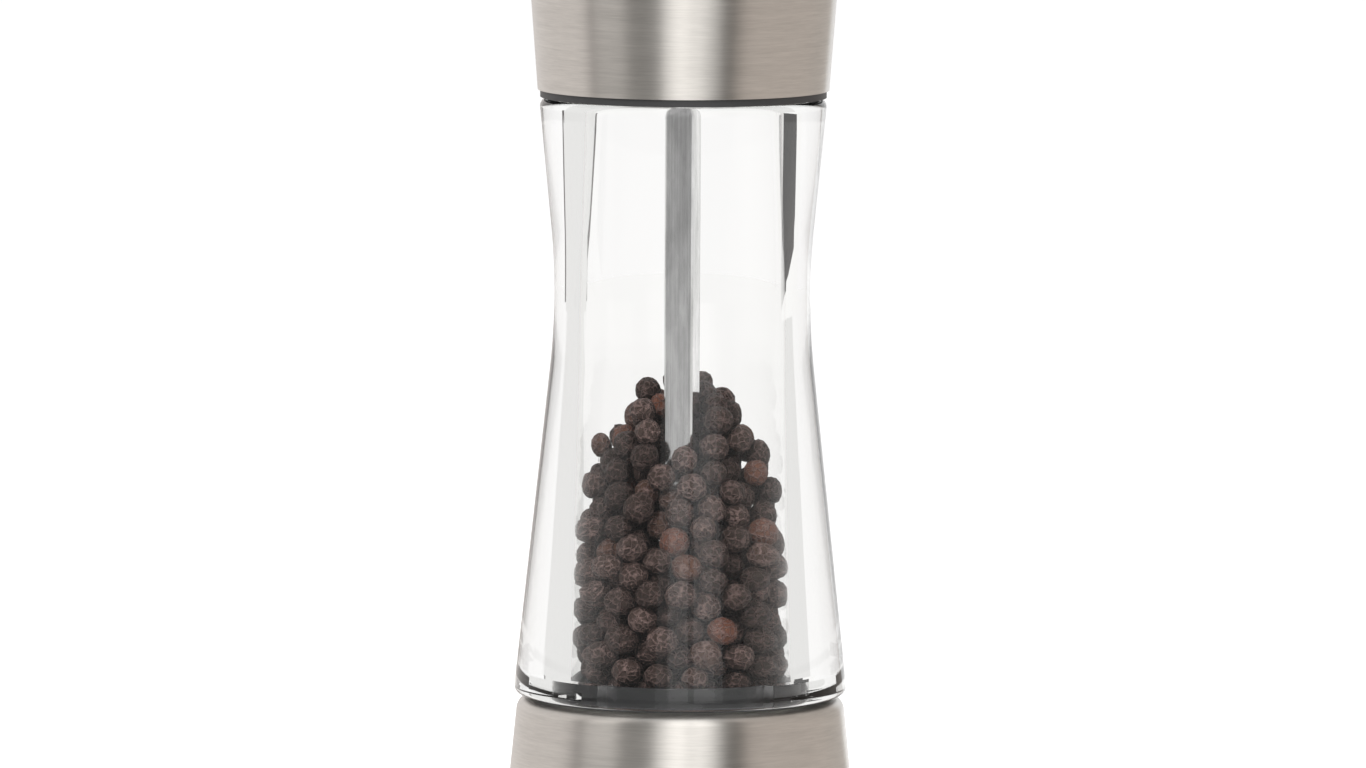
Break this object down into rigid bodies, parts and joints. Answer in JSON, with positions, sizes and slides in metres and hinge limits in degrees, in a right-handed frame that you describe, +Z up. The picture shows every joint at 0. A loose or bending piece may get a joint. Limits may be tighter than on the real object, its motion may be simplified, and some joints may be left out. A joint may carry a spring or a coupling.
{
  "type": "pepper mill",
  "caption": "Waisted clear pepper mill with a steel head that turns and lifts off, a steel base, a conical burr grinder and a grip ring that sets the grind.",
  "frame": {"origin": "centre of the mill's footprint, on the table", "axes": "+Z up along the mill's axis, -Y towards the viewer of the picture"},
  "size_m": [0.066, 0.066, 0.19],
  "materials": {
    "steel_skin": "fine brushing that runs round the axis",
    "clear_plastic": "thick, clear and polished",
    "dark_plastic": "moulded, satin black",
    "pale_plastic": "slippery, satin, off-white",
    "gasket_rubber": "matte",
    "shaft_metal": "drawn, satin",
    "burr_steel": "hardened, dark satin",
    "spring_steel": "bright",
    "pepper": "dried and wrinkled"
  },
  "bodies": {
    "mill_body": {"clear_body": "clear_plastic", "base_gasket": "gasket_rubber", "base_collar": "steel_skin", "base_housing": "dark_plastic", "carrier_spring": "spring_steel", "click_spring": "spring_steel", "peppercorns": "pepper"},
    "drive": {"drive_shaft": "shaft_metal", "shaft_bush": "dark_plastic", "thrust_washer": "pale_plastic", "cone_burr": "burr_steel", "burr_washer": "spring_steel", "burr_screw": "spring_steel"},
    "head": {"head_shell": "steel_skin", "head_core": "dark_plastic", "glide_ring": "pale_plastic", "shaft_clip": "spring_steel"},
    "grind_ring": {"ring_burr": "burr_steel", "burr_carrier": "dark_plastic", "carrier_screws": "spring_steel"},
    "adjuster": {"grip_skin": "steel_skin", "grip_core": "dark_plastic"}
  },
  "joints": [
    {"name": "head_turn", "type": "hinge", "parent": "mill_body", "child": "drive", "pos_m": [0, 0, 0.148], "axis": [0, 0, 1], "continuous": true},
    {"name": "head_lift", "type": "slide", "parent": "drive", "child": "head", "axis": [0, 0, 1], "range_m": [0, 0.03]},
    {"name": "grind_select", "type": "hinge", "parent": "mill_body", "child": "adjuster", "pos_m": [0, 0, 0.006], "axis": [0, 0, -1], "range_deg": [0, 100]},
    {"name": "ring_lift", "type": "slide", "parent": "mill_body", "child": "grind_ring", "axis": [0, 0, 1], "range_m": [0, 0.0015], "deforming": ["carrier_spring"]}
  ],
  "couplings": [
    {"joint": "grind_select", "follows": "ring_lift", "rad_per_m": 1163.6}
  ]
}
